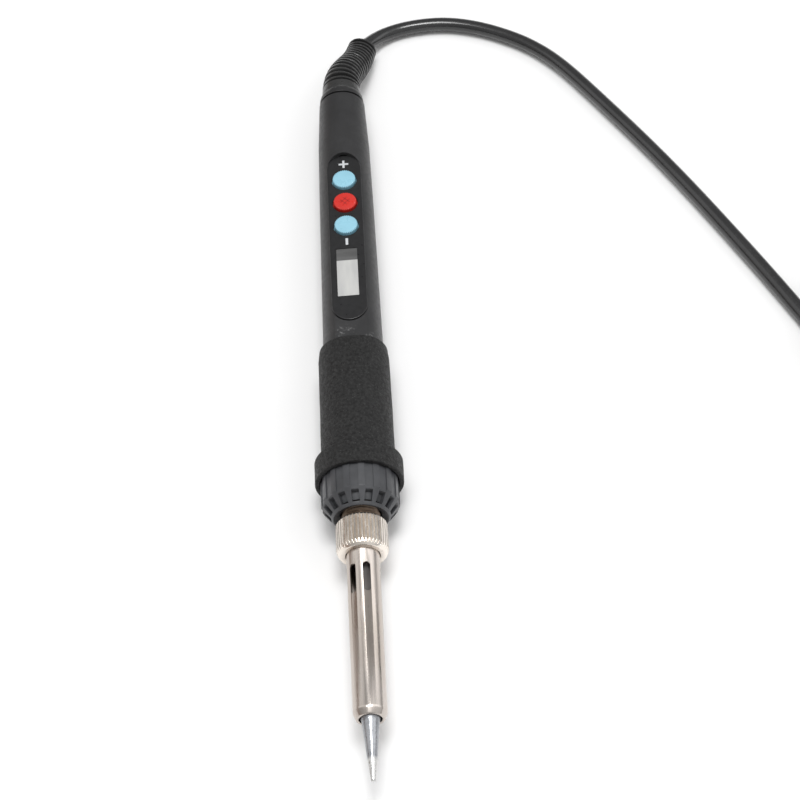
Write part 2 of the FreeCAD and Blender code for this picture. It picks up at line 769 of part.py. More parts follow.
# The strain relief bends to the right and down to the surface: the corners of a Bezier curve.
RELIEF_CURVE = [
    (0, 108.5, 11.45),
    (0, 113.2, 11.5),
    (0.4, 119.2, 11.0),
    (4.5, 122.7, 5.6),
    (5.0, 128.4, 4.9),
    (6.6, 133.2, 4.5),
]

# Where the cord lies: off the strain relief, along the surface in one wide bend, then on to its coil.
CORD_ROUTE = [
    (6.6, 133.2, 4.5),
    (9.8, 137.5, 3.1),
    (15.7, 141.1, 2.3),
    (23.7, 142.6, 2.3),
    (32.1, 142.4, 2.3),
    (40.0, 140.2, 2.3),
    (48.1, 136.3, 2.3),
    (56.3, 130.8, 2.3),
    (64.3, 122.6, 2.3),
    (74.2, 107.6, 2.3),
    (91.1, 80.4, 2.3),
    (108.3, 48.6, 2.3),
    (121.05, 23.4, 2.3),
    (130.9, 3.7, 2.3),
]

COIL_CENTRE = (157.4, 16.9)
PLUG_OFFSET = 20

# The cord's last stretch, off the top of the coil and into the plug that lies on it.
TAIL_ROUTE = [
    (132.2, 25.9, 11.5),
    (132.4, 15.4, 13.8),
    (136.9, 4.9, 17.5),
    (145.9, -1.9, 20.3),
    (156.4, -3.4, 20.9),
]


def curve_point(corners, part):
    """A point and a direction on a Bezier curve, part of the way along it."""
    points = [Vector(*corner) for corner in corners]
    while len(points) > 2:
        points = [first + (second - first) * part for first, second in zip(points, points[1:])]
    run = points[1] - points[0]
    return points[0] + run * part, run.normalize()


def make_relief():
    root_r = size["relief_r"].value
    end_r = size["relief_end_r"].value
    rear = size["relief_start"].value - size["half_length"].value
    height = size["flange_r"].value
    core_share = 0.86
    section_count = 8
    sections = []
    for number in range(section_count + 1):
        part = number / section_count
        point, heading = curve_point(RELIEF_CURVE, part)
        radius = (root_r + (end_r - root_r) * part) * core_share
        sections.append(Part.Wire(Part.makeCircle(radius, point, heading)))
    solids = [Part.makeLoft(sections, True, True)]
    ribs = int(size["rib_count"].value)
    rib_length = 1.0
    rib_first = 0.06
    for number in range(ribs):
        part = rib_first + (1 - rib_first) * (number + 0.5) / ribs
        point, heading = curve_point(RELIEF_CURVE, part)
        radius = root_r + (end_r - root_r) * part
        solids.append(Part.makeCylinder(radius, rib_length, point - heading * rib_length / 2, heading))
    # A plain band follows the rear collar; the shank goes through it and ends in a flange inside the handle.
    gap = size["joint_gap"].value
    bore = size["collar_bore_r"].value
    band_front = size["collar_rear"].value - size["half_length"].value + gap
    band = 2.9
    solids.append(Part.makeCylinder(root_r, band, Vector(0, band_front, height), BACK))
    shank_front = size["handle_rear"].value - size["half_length"].value - gap
    shank = rear - shank_front + 0.5
    flange = 3.9
    solids.append(Part.makeCylinder(bore - gap, shank, Vector(0, shank_front, height), BACK))
    solids.append(Part.makeCylinder(bore + 0.5, flange, Vector(0, shank_front - flange, height), BACK))
    relief = solids[0].multiFuse(solids[1:])
    node("strain_relief", shaped("relief", relief.removeSplitter()), ROW)


def rounded_path(name, route):
    """Straight runs joined by tangent arcs, each as large as its two runs allow."""
    points = [Vector(*place) for place in route]
    edges = []
    radii = []
    start = points[0]
    for before, corner, after in zip(points, points[1:], points[2:]):
        back = (before - corner).normalize()
        ahead = (after - corner).normalize()
        reach = 0.45 * min((before - corner).Length, (after - corner).Length)
        half_turn = (math.pi - back.getAngle(ahead)) / 2
        radii.append(reach / math.tan(half_turn))
        first = corner + back * reach
        last = corner + ahead * reach
        middle_line = (back + ahead).normalize()
        depth = radii[-1] / math.cos(half_turn) - radii[-1]
        edges.append(Part.LineSegment(start, first).toShape())
        edges.append(Part.Arc(first, corner + middle_line * depth, last).toShape())
        start = last
    edges.append(Part.LineSegment(start, points[-1]).toShape())
    print(name, "arc radii in mm:", ", ".join("%.0f" % radius for radius in radii))
    return Part.Wire(edges)


def make_cord(name, route):
    path = rounded_path(name, route)
    radius = size["cord_r"].value
    heading = Vector(*route[1]) - Vector(*route[0])
    section = Part.Wire(Part.makeCircle(radius, Vector(*route[0]), heading))
    tube = path.makePipeShell([section], True, False)
    length = path.Length
    expected = math.pi * radius ** 2 * length
    print(name, "length %.1f mm, volume %.1f, section times length %.1f" % (length, tube.Volume, expected))
    node(name, shaped(name + "_tube", tube), ROW)


def make_coil():
    middle = size["coil_mid_r"]
    width = size["coil_width"]
    height = size["coil_height"]
    bevel = 1.2
    inner = middle - width / 2
    outer = middle + width / 2
    coil = turned("coil", [
        (inner, bevel),
        (inner + bevel, 0),
        (outer - bevel, 0),
        (outer, bevel),
        (outer, height - bevel),
        (outer - bevel, height),
        (inner + bevel, height),
        (inner, height - bevel),
    ], "XZ_Plane")
    at_coil = Placement(Vector(COIL_CENTRE[0], COIL_CENTRE[1], 0), UPRIGHT)
    node("cord_coil", coil, at_coil)
    strap = 0.8
    strap_wide = 5.0
    band = cut("tie_band",
               block("tie_outer", strap_wide, width + 2 * strap, height + strap, 0, middle, 0),
               block("tie_inner", strap_wide + 2, width, height - strap, 0, middle, strap))
    node("coil_tie", band, at_coil)


def make_plug():
    half = size["plug_width"] / 2
    neck_half = 8
    neck, shoulder, face = 4, 14, 26
    shell = padded("plug_shell", [
        (neck, -neck_half),
        (shoulder, -half),
        (face, -half),
        (face, half),
        (shoulder, half),
        (neck, neck_half),
    ], size["plug_depth"])
    boot_r, boot_end_r, boot_start = 4.6, 3.2, -6
    boot = cone("plug_boot", boot_end_r, boot_r, neck + 0.5 - boot_start, boot_start, 0,
                size["plug_depth"] / 2, ALONG_X)
    on_coil = Vector(COIL_CENTRE[0], COIL_CENTRE[1] - PLUG_OFFSET, size["coil_height"].value)
    at_plug = Placement(on_coil, UPRIGHT)
    node("plug_body", fuse("plug", [shell, boot]), at_plug)
    pins = []
    for side in (-1, 1):
        pins.append(cylinder("pin_%d" % (side + 1), size["pin_r"], size["pin_length"], face,
                             side * size["pin_spacing"] / 2, size["plug_depth"] / 2, ALONG_X))
    node("plug_pins", group("pins", pins), at_plug)


# ---------------------------------------------------------------- build, test and write

def check_and_write():
    doc.recompute()
    broken = []
    for piece in doc.Objects:
        if "Invalid" in piece.State or "Error" in piece.State:
            broken.append(piece.Name)
    for name, piece in nodes.items():
        if piece.Shape.isNull() or not piece.Shape.isValid() or piece.Shape.Volume <= 0:
            broken.append(name)
    if broken:
        raise RuntimeError("failed: " + ", ".join(broken))
    os.makedirs("parts", exist_ok=True)
    for name, piece in nodes.items():
        piece.Shape.exportStep("parts/%s.step" % name)
        box = piece.Shape.optimalBoundingBox(False)
        print("%-20s %2d solid(s) %9.1f mm3  x %.1f..%.1f  y %.1f..%.1f  z %.1f..%.1f" % (
            name, len(piece.Shape.Solids), piece.Shape.Volume,
            box.XMin, box.XMax, box.YMin, box.YMax, box.ZMin, box.ZMax))


make_tip()
make_tube()
make_nut()
make_heater()
make_nose()
make_grip()
make_handle()
make_collar()
make_panel()
make_buttons()
make_electronics()
make_wiring()
make_relief()
make_cord("cord_lead", CORD_ROUTE)
make_cord("cord_tail", TAIL_ROUTE)
make_coil()
make_plug()
check_and_write()
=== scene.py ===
import math
import random

import bmesh
import bpy
from mathutils import Matrix, Vector


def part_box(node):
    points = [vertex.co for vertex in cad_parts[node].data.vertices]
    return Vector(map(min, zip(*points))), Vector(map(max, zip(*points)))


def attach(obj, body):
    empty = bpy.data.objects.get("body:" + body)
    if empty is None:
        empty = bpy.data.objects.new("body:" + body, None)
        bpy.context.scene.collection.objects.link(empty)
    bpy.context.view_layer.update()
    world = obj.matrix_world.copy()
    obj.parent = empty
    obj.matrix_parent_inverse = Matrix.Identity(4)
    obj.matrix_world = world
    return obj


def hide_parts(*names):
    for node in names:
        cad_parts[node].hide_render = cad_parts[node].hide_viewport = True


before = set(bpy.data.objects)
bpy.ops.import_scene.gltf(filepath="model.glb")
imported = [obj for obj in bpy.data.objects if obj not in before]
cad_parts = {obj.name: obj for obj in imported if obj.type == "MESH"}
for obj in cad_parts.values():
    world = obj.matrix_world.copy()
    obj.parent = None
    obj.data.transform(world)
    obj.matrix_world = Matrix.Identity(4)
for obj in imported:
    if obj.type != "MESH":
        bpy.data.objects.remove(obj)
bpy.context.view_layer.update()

# ---------------------------------------------------------------- frames
#
# The iron's own pieces are drawn in millimetres: x across, y along the iron from the very end of the tip, and
# z out of the middle of the control panel, with z = 0 on the iron's axis. AXIS turns that into the row frame.

MM = 0.001
TAU = 2 * math.pi
TIP_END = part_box("soldering_tip")[0].y
AXIS_HEIGHT = (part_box("grip_sleeve")[0].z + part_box("grip_sleeve")[1].z) / 2
AXIS = Matrix.Translation((0, TIP_END, AXIS_HEIGHT)) @ Matrix.Scale(MM, 4)

PANEL_MID = 159.1
PANEL_HEIGHT = 6.44
PANEL_TILT = math.radians(-0.85)
PANEL = AXIS @ Matrix.Translation((0, PANEL_MID, PANEL_HEIGHT)) @ Matrix.Rotation(PANEL_TILT, 4, "X")
ROW = Matrix.Scale(MM, 4)
SMOOTH_ANGLE = math.radians(32)
ON_AXIS = 1e-6


# ---------------------------------------------------------------- materials

class Nodes:
    """A node tree with short ways to add the nodes used here."""

    def __init__(self, tree, coordinates):
        self.nodes = tree.nodes
        self.links = tree.links
        self.place = self.nodes.new("ShaderNodeTexCoord").outputs[coordinates]

    def scaled(self, stretch):
        mapping = self.nodes.new("ShaderNodeMapping")
        mapping.inputs["Scale"].default_value = stretch
        self.links.new(self.place, mapping.inputs["Vector"])
        return mapping.outputs["Vector"]

    def noise(self, scale, detail=3.0, stretch=(1, 1, 1), roughness=0.5):
        """Noise with its scale in cells per metre."""
        noise = self.nodes.new("ShaderNodeTexNoise")
        noise.inputs["Scale"].default_value = scale
        noise.inputs["Detail"].default_value = detail
        noise.inputs["Roughness"].default_value = roughness
        self.links.new(self.scaled(stretch), noise.inputs["Vector"])
        return noise.outputs["Fac"]

    def cells(self, scale):
        cells = self.nodes.new("ShaderNodeTexVoronoi")
        cells.inputs["Scale"].default_value = scale
        self.links.new(self.place, cells.inputs["Vector"])
        return cells.outputs["Distance"]

    def along(self, letter):
        parts = self.nodes.new("ShaderNodeSeparateXYZ")
        self.links.new(self.place, parts.inputs["Vector"])
        return parts.outputs[letter]

    def span(self, value, low, high, low_out=0.0, high_out=1.0):
        span = self.nodes.new("ShaderNodeMapRange")
        span.inputs["From Min"].default_value = low
        span.inputs["From Max"].default_value = high
        span.inputs["To Min"].default_value = low_out
        span.inputs["To Max"].default_value = high_out
        self.links.new(value, span.inputs["Value"])
        return span.outputs["Result"]

    def ramp(self, value, stops):
        ramp = self.nodes.new("ShaderNodeValToRGB")
        points = ramp.color_ramp.elements
        while len(points) < len(stops):
            points.new(0.5)
        for point, (place, colour) in zip(points, stops):
            point.position = place
            point.color = (*colour, 1)
        self.links.new(value, ramp.inputs["Fac"])
        return ramp.outputs["Color"]

    def mix(self, amount, low, high):
        mix = self.nodes.new("ShaderNodeMix")
        mix.data_type = "RGBA"
        self.links.new(amount, mix.inputs["Factor"])
        for socket, value in ((mix.inputs["A"], low), (mix.inputs["B"], high)):
            if isinstance(value, tuple):
                socket.default_value = (*value, 1)
            else:
                self.links.new(value, socket)
        return mix.outputs["Result"]

    def multiplied(self, first, second):
        product = self.nodes.new("ShaderNodeMath")
        product.operation = "MULTIPLY"
        self.links.new(first, product.inputs[0])
        self.links.new(second, product.inputs[1])
        return product.outputs["Value"]

    def dimmed(self, colour, factor):
        dimmed = self.nodes.new("ShaderNodeVectorMath")
        dimmed.operation = "SCALE"
        self.links.new(colour, dimmed.inputs["Vector"])
        self.links.new(factor, dimmed.inputs["Scale"])
        return dimmed.outputs["Vector"]


class Shader(Nodes):
    """A Principled material with its node tree at hand."""

    def __init__(self, name, colour, roughness, metallic=0.0):
        self.name = name
        self.material = bpy.data.materials.new(name)
        self.material.use_nodes = True
        super().__init__(self.material.node_tree, "Object")
        self.surface = self.nodes["Principled BSDF"]
        self.set("Base Color", (*colour, 1))
        self.set("Roughness", roughness)
        self.set("Metallic", metallic)

    def set(self, name, value):
        self.surface.inputs[name].default_value = value

    def source(self, name):
        return self.surface.inputs[name].links[0].from_socket

    def colour(self, source):
        self.links.new(source, self.surface.inputs["Base Color"])

    def rough(self, source):
        self.links.new(source, self.surface.inputs["Roughness"])

    def bump(self, *layers):
        """Layers of (height source, strength, depth in millimetres), one on top of the other."""
        below = None
        for source, strength, depth in layers:
            bump = self.nodes.new("ShaderNodeBump")
            bump.inputs["Strength"].default_value = strength
            bump.inputs["Distance"].default_value = depth * MM
            self.links.new(source, bump.inputs["Height"])
            if below:
                self.links.new(below, bump.inputs["Normal"])
            below = bump.outputs["Normal"]
        self.links.new(below, self.surface.inputs["Normal"])


def grey(value, tint=(1, 1, 1)):
    return tuple(value * part for part in tint)


def moulded(name, colour, roughness, grain=4500, depth=0.03, spread=0.12):
    """Moulded plastic: a fine spark texture, faint mottling and uneven gloss."""
    shader = Shader(name, colour, roughness)
    dark = tuple(part * (1 - spread) for part in colour)
    light = tuple(part * (1 + spread) for part in colour)
    shader.colour(shader.ramp(shader.noise(160, 4), [(0.35, dark), (0.65, light)]))
    shader.rough(shader.span(shader.noise(900, 4), 0.3, 0.7, roughness - 0.07, roughness + 0.07))
    shader.bump((shader.noise(grain, 3), 0.5, depth))
    return shader


def metal(name, colour, roughness, tint, streak=(900, 60, 900)):
    """Plated metal with fine streaks along the iron and a patchy tint."""
    shader = Shader(name, colour, roughness, 1.0)
    streaks = shader.noise(1.0, 4, streak)
    shader.colour(shader.ramp(shader.noise(55, 5, (1, 0.5, 1)), [(0.35, tint), (0.62, colour)]))
    shader.rough(shader.span(streaks, 0.3, 0.7, roughness * 0.7, roughness * 1.5))
    shader.bump((streaks, 0.12, 0.01))
    return shader


def make_materials():
    made = {}

    def keep(shader):
        made[shader.name] = shader.material
        return shader

    handle = keep(moulded("handle_plastic", grey(0.027, (1, 1, 1.04)), 0.42, 5200, 0.035))
    handle.set("Specular IOR Level", 0.4)
    from_grip = handle.span(handle.along("Y"), *SCUFFED)
    near_grip = handle.ramp(from_grip, [(0.0, grey(1)), (0.4, grey(1)), (0.9, grey(0))])
    marks = handle.ramp(handle.noise(1500, 6, roughness=0.7), [(0.54, grey(0)), (0.66, grey(1))])
    patches = handle.ramp(handle.noise(230, 2), [(0.5, grey(0)), (0.6, grey(1))])
    scuffs = handle.mix(near_grip, grey(0), handle.mix(patches, grey(0), marks))
    handle.colour(handle.mix(scuffs, handle.source("Base Color"), grey(0.22)))
    keep(moulded("collar_plastic", grey(0.022, (1, 1, 1.03)), 0.34, 5200, 0.02))
    panel = keep(moulded("panel_plastic", grey(0.014, (1, 1, 1.06)), 0.34, 7000, 0.012, 0.08))
    panel.set("Specular IOR Level", 0.42)
    keep(moulded("nose_plastic", grey(0.057, (0.97, 1, 1.08)), 0.4, 3800, 0.03, 0.2))
    keep(moulded("liner_plastic", grey(0.11, (0.97, 1, 1.06)), 0.45, 3800, 0.03, 0.2))

    grip = keep(Shader("grip_rubber", grey(0.022), 0.62))
    specks = grip.span(grip.cells(1700), 0.0, 0.17, 1.0, 0.0)
    base = grip.ramp(grip.noise(1500, 5), [(0.34, grey(0.003)), (0.66, grey(0.021))])
    grip.set("Specular IOR Level", 0.35)
    grip.colour(grip.mix(grip.span(specks, 0.0, 1.0, 0.0, 0.6), base, grey(0.24)))
    grip.rough(grip.span(grip.noise(1200, 4), 0.3, 0.7, 0.45, 0.75))
    grip.bump((grip.noise(1700, 6, roughness=0.75), 1.0, 0.3), (grip.noise(400, 3), 0.3, 0.2))

    relief = keep(moulded("relief_rubber", grey(0.026), 0.32, 3000, 0.02, 0.15))
    relief.set("Coat Weight", 0.25)
    relief.set("Coat Roughness", 0.25)
    cord = keep(moulded("cord_rubber", grey(0.017, (1, 1, 1.04)), 0.23, 1300, 0.02, 0.15))
    cord.set("Coat Weight", 0.35)
    cord.set("Coat Roughness", 0.12)
    plug = keep(moulded("plug_plastic", grey(0.028, (1, 1, 1.04)), 0.3, 2600, 0.02, 0.12))
    plug.set("Coat Weight", 0.1)
    keep(moulded("tie_plastic", grey(0.03), 0.6, 2600, 0.05, 0.2))

    blue = keep(moulded("button_blue", (0.28, 0.54, 0.66), 0.3, 2600, 0.012, 0.04))
    blue.set("Coat Weight", 0.25)
    red = keep(moulded("button_red", (0.58, 0.026, 0.018), 0.3, 2600, 0.012, 0.06))
    red.set("Coat Weight", 0.2)
    keep(moulded("relief_red", (0.3, 0.012, 0.01), 0.4, 2600, 0.012, 0.06))
    keep(moulded("marking_white", grey(0.54, (0.97, 1, 1.03)), 0.5, 5000, 0.01, 0.08))

    display = keep(Shader("display_glass", grey(0.6), 0.16))
    line = display.span(display.along("Y"), *DISPLAY_FADE)
    brushed = display.noise(1.0, 3, (420, 70, 90))
    silver = display.ramp(brushed, [(0.3, grey(0.43)), (0.7, grey(0.55, (1, 1, 0.97)))])
    streaked = display.noise(1.0, 2, (120, 500, 90))
    slate = display.ramp(streaked, [(0.3, grey(0.078)), (0.7, grey(0.115))])
    display.colour(display.mix(line, silver, slate))
    display.bump((display.noise(300, 2), 0.1, 0.02))
    display.set("Coat Weight", 0.6)
    display.set("Coat Roughness", 0.05)

    keep(metal("nickel", (0.6, 0.55, 0.51), 0.24, (0.5, 0.44, 0.39)))
    keep(metal("nut_nickel", (0.94, 0.87, 0.795), 0.2, (0.84, 0.76, 0.675), (1500, 300, 1500)))
    # The neck's brass is painted dark brown: painted shade for the shadow it sits in behind the nut.
    keep(metal("neck_brass", (0.17, 0.13, 0.1), 0.35, (0.1, 0.075, 0.055)))
    keep(metal("pin_metal", (0.78, 0.76, 0.72), 0.22, (0.66, 0.62, 0.56), (60, 900, 900)))
    tip = keep(Shader("tip_steel", (0.47, 0.48, 0.5), 0.3, 1.0))
    tinned = tip.span(tip.along("Y"), *TINNED_FADE)
    rough_edge = tip.noise(2200, 4)
    plated = tip.ramp(tip.noise(500, 4, (1, 0.4, 1)), [(0.3, (0.28, 0.29, 0.31)), (0.7, (0.41, 0.42, 0.44))])
    bright = tip.ramp(rough_edge, [(0.3, (0.5, 0.5, 0.49)), (0.7, (0.74, 0.74, 0.73))])
    tip.colour(tip.mix(tinned, bright, plated))
    tip.rough(tip.span(rough_edge, 0.3, 0.7, 0.2, 0.42))
    tip.bump((rough_edge, 0.25, 0.05))

    plain = {
        "heater_ceramic": (moulded, (0.13, 0.12, 0.115), 0.5),
        "component_black": (moulded, grey(0.02), 0.45),
        "board_green": (moulded, (0.02, 0.17, 0.07), 0.3),
        "capacitor_sleeve": (moulded, (0.02, 0.03, 0.1), 0.3),
        "capacitor_box": (moulded, (0.6, 0.42, 0.05), 0.5),
        "lead_insulation": (moulded, (0.5, 0.05, 0.03), 0.5),
        "earth_insulation": (moulded, (0.2, 0.45, 0.05), 0.5),
        "clamp_plastic": (moulded, grey(0.04), 0.5),
        "screw_steel": (metal, (0.6, 0.6, 0.62), 0.3, (0.45, 0.45, 0.47)),
    }
    for name, (kind, *values) in plain.items():
        keep(kind(name, *values))

    floor = keep(Shader("floor", grey(0.9), 0.6))
    floor.colour(floor.ramp(floor.noise(3, 2), [(0.3, grey(0.895)), (0.7, grey(0.905))]))
    return made


# ---------------------------------------------------------------- mesh tools

def as_mesh(shape):
    """The mesh of a bmesh, or a mesh as it is."""
    if not isinstance(shape, bmesh.types.BMesh):
        return shape
    data = bpy.data.meshes.new("shape")
    shape.to_mesh(data)
    shape.free()
    return data


def new_piece(name, mesh, material, body, replaced=(), flat=False):
    """Put a bmesh or mesh in the scene as one smooth piece that rides on a body.

    A piece with flat faces lets its large faces set the normals at their edges.
    """
    data = as_mesh(mesh)
    data.name = name
    piece = bpy.data.objects.new(name, data)
    bpy.context.scene.collection.objects.link(piece)
    shade(data)
    if flat:
        weigh = piece.modifiers.new("weigh", "WEIGHTED_NORMAL")
        weigh.keep_sharp = True
    if material:
        data.materials.clear()
        data.materials.append(MATERIALS[material])
    if body:
        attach(piece, body)
    if replaced:
        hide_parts(*replaced)
    return piece


def shade(data):
    """Smooth faces, with an edge kept sharp where it turns by more than SMOOTH_ANGLE."""
    bm = bmesh.new()
    bm.from_mesh(data)
    for face in bm.faces:
        face.smooth = True
    for edge in bm.edges:
        if len(edge.link_faces) == 2:
            edge.smooth = edge.calc_face_angle(0) < SMOOTH_ANGLE
    bm.to_mesh(data)
    bm.free()


def baked(piece):
    """The piece's mesh with its modifiers applied; the piece itself is removed."""
    bpy.context.view_layer.update()
    seen = piece.evaluated_get(bpy.context.evaluated_depsgraph_get())
    data = bpy.data.meshes.new_from_object(seen)
    bpy.data.objects.remove(piece)
    return data


def carved(bm, cutters, joined=()):
    """A closed bmesh with others added to it, then cutters taken out of it."""
    body = new_piece("carving", bm, None, None)
    tools = []
    for operation, shapes in (("UNION", joined), ("DIFFERENCE", cutters)):
        for shape in shapes:
            tool = new_piece("cutter", shape, None, None)
            tools.append(tool)
            carve = body.modifiers.new("carve", "BOOLEAN")
            carve.object = tool
            carve.operation = operation
            carve.solver = "EXACT"
    data = baked(body)
    for tool in tools:
        bpy.data.objects.remove(tool)
    return data


def softened(shape, width, angle=38, segments=2):
    """The mesh with its sharp edges rounded over, width in millimetres."""
    piece = bpy.data.objects.new("softening", as_mesh(shape))
    bpy.context.scene.collection.objects.link(piece)
    bevel = piece.modifiers.new("bevel", "BEVEL")
    bevel.width = width * MM
    bevel.segments = segments
    bevel.limit_method = "ANGLE"
    bevel.angle_limit = math.radians(angle)
    bevel.use_clamp_overlap = True
    return baked(piece)


def rounded(outline, steps=5):
    """A closed outline of (across, along, round) corners, each round replaced by an arc."""
    points = []
    count = len(outline)
    for number, (across, along, fillet) in enumerate(outline):
        corner = Vector((across, along))
        if not fillet:
            points.append(corner)
            continue
        back = Vector(outline[number - 1][:2]) - corner
        ahead = Vector(outline[(number + 1) % count][:2]) - corner
        half = back.angle(ahead) / 2
        reach = min(fillet / math.tan(half), back.length * 0.5, ahead.length * 0.5)
        radius = reach * math.tan(half)
        centre = corner + (back.normalized() + ahead.normalized()).normalized() * (radius / math.sin(half))
        first = corner + back.normalized() * reach - centre
        turn = first.angle_signed(corner + ahead.normalized() * reach - centre)
        for step in range(steps + 1):
            arm = first.copy()
            arm.rotate(Matrix.Rotation(-turn * step / steps, 2))
            points.append(centre + arm)
    return points


def lathe(outline, place=AXIS, segments=128, shape=None):
    """The outline turned about the y axis of place, closed at the axis or back to its first point.

    Points are (radius, station) in millimetres. Shape may change the radius: shape(angle, radius, station).
    """
    bm = bmesh.new()
    rings = []
    for radius, station in outline:
        if radius < ON_AXIS:
            rings.append([bm.verts.new(place @ Vector((0, station, 0)))])
            continue
        ring = []
        for number in range(segments):
            angle = TAU * number / segments
            reach = shape(angle, radius, station) if shape else radius
            point = Vector((reach * math.sin(angle), station, reach * math.cos(angle)))
            ring.append(bm.verts.new(place @ point))
        rings.append(ring)
    pairs = list(zip(rings, rings[1:]))
    if len(rings[0]) > 1 and len(rings[-1]) > 1:
        pairs.append((rings[-1], rings[0]))
    for first, second in pairs:
        for number in range(segments):
            after = (number + 1) % segments
            if len(first) == 1 and len(second) == 1:
                break
            if len(first) == 1:
                bm.faces.new((first[0], second[number], second[after]))
            elif len(second) == 1:
                bm.faces.new((first[number], first[after], second[0]))
            else:
                bm.faces.new((first[number], first[after], second[after], second[number]))
    bmesh.ops.recalc_face_normals(bm, faces=bm.faces)
    return bm


def prism(outline, low, high, place):
    """A flat outline of (x, y) points raised from z low to z high in place, all in millimetres."""
    bm = bmesh.new()
    bottom = [bm.verts.new(place @ Vector((x, y, low))) for x, y in outline]
    top = [bm.verts.new(place @ Vector((x, y, high))) for x, y in outline]
    bm.faces.new(bottom)
    bm.faces.new(top)
    count = len(outline)
    for number in range(count):
        after = (number + 1) % count
        bm.faces.new((bottom[number], bottom[after], top[after], top[number]))
    bmesh.ops.recalc_face_normals(bm, faces=bm.faces)
    return bm


def merged(shapes):
    """Several separate closed shapes as one bmesh."""
    whole = bmesh.new()
    for shape in shapes:
        data = as_mesh(shape)
        whole.from_mesh(data)
        bpy.data.meshes.remove(data)
    return whole


def stadium(wide, long, steps=20):
    """Outline of a bar with round ends along y."""
    radius = wide / 2
    end = long / 2 - radius
    points = []
    for side in (1, -1):
        for step in range(steps + 1):
            angle = math.pi * step / steps
            points.append((radius * math.cos(angle) * side, (end + radius * math.sin(angle)) * side))
    return points


def circle(radius, x=0.0, y=0.0, count=72):
    angles = [TAU * number / count for number in range(count)]
    return [(x + radius * math.cos(angle), y + radius * math.sin(angle)) for angle in angles]


def rectangle(wide, long, x=0.0, y=0.0, corner=0.0):
    half_wide, half_long = wide / 2, long / 2
    corners = [(x - half_wide, y - half_long, corner), (x + half_wide, y - half_long, corner),
               (x + half_wide, y + half_long, corner), (x - half_wide, y + half_long, corner)]
    return [tuple(point) for point in rounded(corners)]


def tube_mesh(path, ring_at):
    """A closed tube along (point, heading) pairs; ring_at(number) gives its (side, up) offsets at each."""
    bm = bmesh.new()
    rings = []
    up = Vector((0, 0, 1))
    for number, (point, heading) in enumerate(path):
        side = heading.cross(up).normalized()
        over = side.cross(heading).normalized()
        rings.append([bm.verts.new(point + side * x + over * y) for x, y in ring_at(number)])
    for first, second in zip(rings, rings[1:]):
        count = len(first)
        for number in range(count):
            after = (number + 1) % count
            bm.faces.new((first[number], first[after], second[after], second[number]))
    bm.faces.new(rings[0])
    bm.faces.new(rings[-1])
    bmesh.ops.recalc_face_normals(bm, faces=bm.faces)
    return bm


# ---------------------------------------------------------------- camera, floor and light

def make_camera():
    """A viewpoint ahead of the tip and well above it, a little to the right."""
    camera = bpy.data.objects.new("camera", bpy.data.cameras.new("camera"))
    bpy.context.scene.collection.objects.link(camera)
    pitch = math.radians(CAMERA_PITCH)
    heading = math.radians(CAMERA_HEADING)
    about_iron = Matrix.Rotation(math.radians(CAMERA_ROLL), 3, "Y")
    ahead = about_iron @ Vector((math.sin(heading) * math.cos(pitch), math.cos(heading) * math.cos(pitch),
                                 -math.sin(pitch)))
    right = about_iron @ Vector((math.cos(heading), -math.sin(heading), 0))
    up = right.cross(ahead)
    tip = AXIS @ Vector((0, 0, 0))
    place = tip - (right * TIP_IN_VIEW[0] + up * TIP_IN_VIEW[1] + ahead * TIP_IN_VIEW[2]) * MM
    camera.matrix_world = Matrix.Translation(place) @ Matrix((right, up, -ahead)).transposed().to_4x4()
    camera.data.lens = CAMERA_LENS
    camera.data.sensor_width = 36
    camera.data.clip_start = 0.01
    camera.data.clip_end = 20
    bpy.context.scene.camera = camera


# Where the tip's end is seen from the camera, in millimetres: to the right, above and ahead.
TIP_IN_VIEW = (-6.2, -89.3, 524.4)
# The camera's downward pitch, its turn to the right of the iron, and the iron's own roll, in degrees.
CAMERA_PITCH = 55
CAMERA_HEADING = 2.84
CAMERA_ROLL = 4.0
CAMERA_LENS = 100.8


def make_floor():
    bm = bmesh.new()
    bmesh.ops.create_grid(bm, x_segments=8, y_segments=8, size=2.5)
    bmesh.ops.translate(bm, verts=bm.verts, vec=(0, 0, -0.0002))
    floor = new_piece("floor", bm, "floor", None)


def make_lamps():
    """Soft lamps from above and from both sides, all aimed at the floor's middle."""
    def softbox(name, place, size, power):
        lamp = bpy.data.lights.new(name, "AREA")
        lamp.shape = "RECTANGLE"
        lamp.size, lamp.size_y = size
        lamp.energy = power
        lamp_object = bpy.data.objects.new(name, lamp)
        bpy.context.scene.collection.objects.link(lamp_object)
        lamp_object.location = place
        lamp_object.rotation_euler = (LAMP_AIM - Vector(place)).to_track_quat("-Z", "Y").to_euler()

    softbox("key", (0.12, 0.05, 1.15), (0.4, 0.3), 4.6)
    softbox("top", (-0.1, -0.1, 1.2), (0.4, 0.4), 4.2)
    softbox("left", (-0.95, 0.3, 0.75), (0.6, 1.0), 1.2)
    softbox("right", (0.95, 0.2, 0.75), (0.6, 1.0), 1.9)


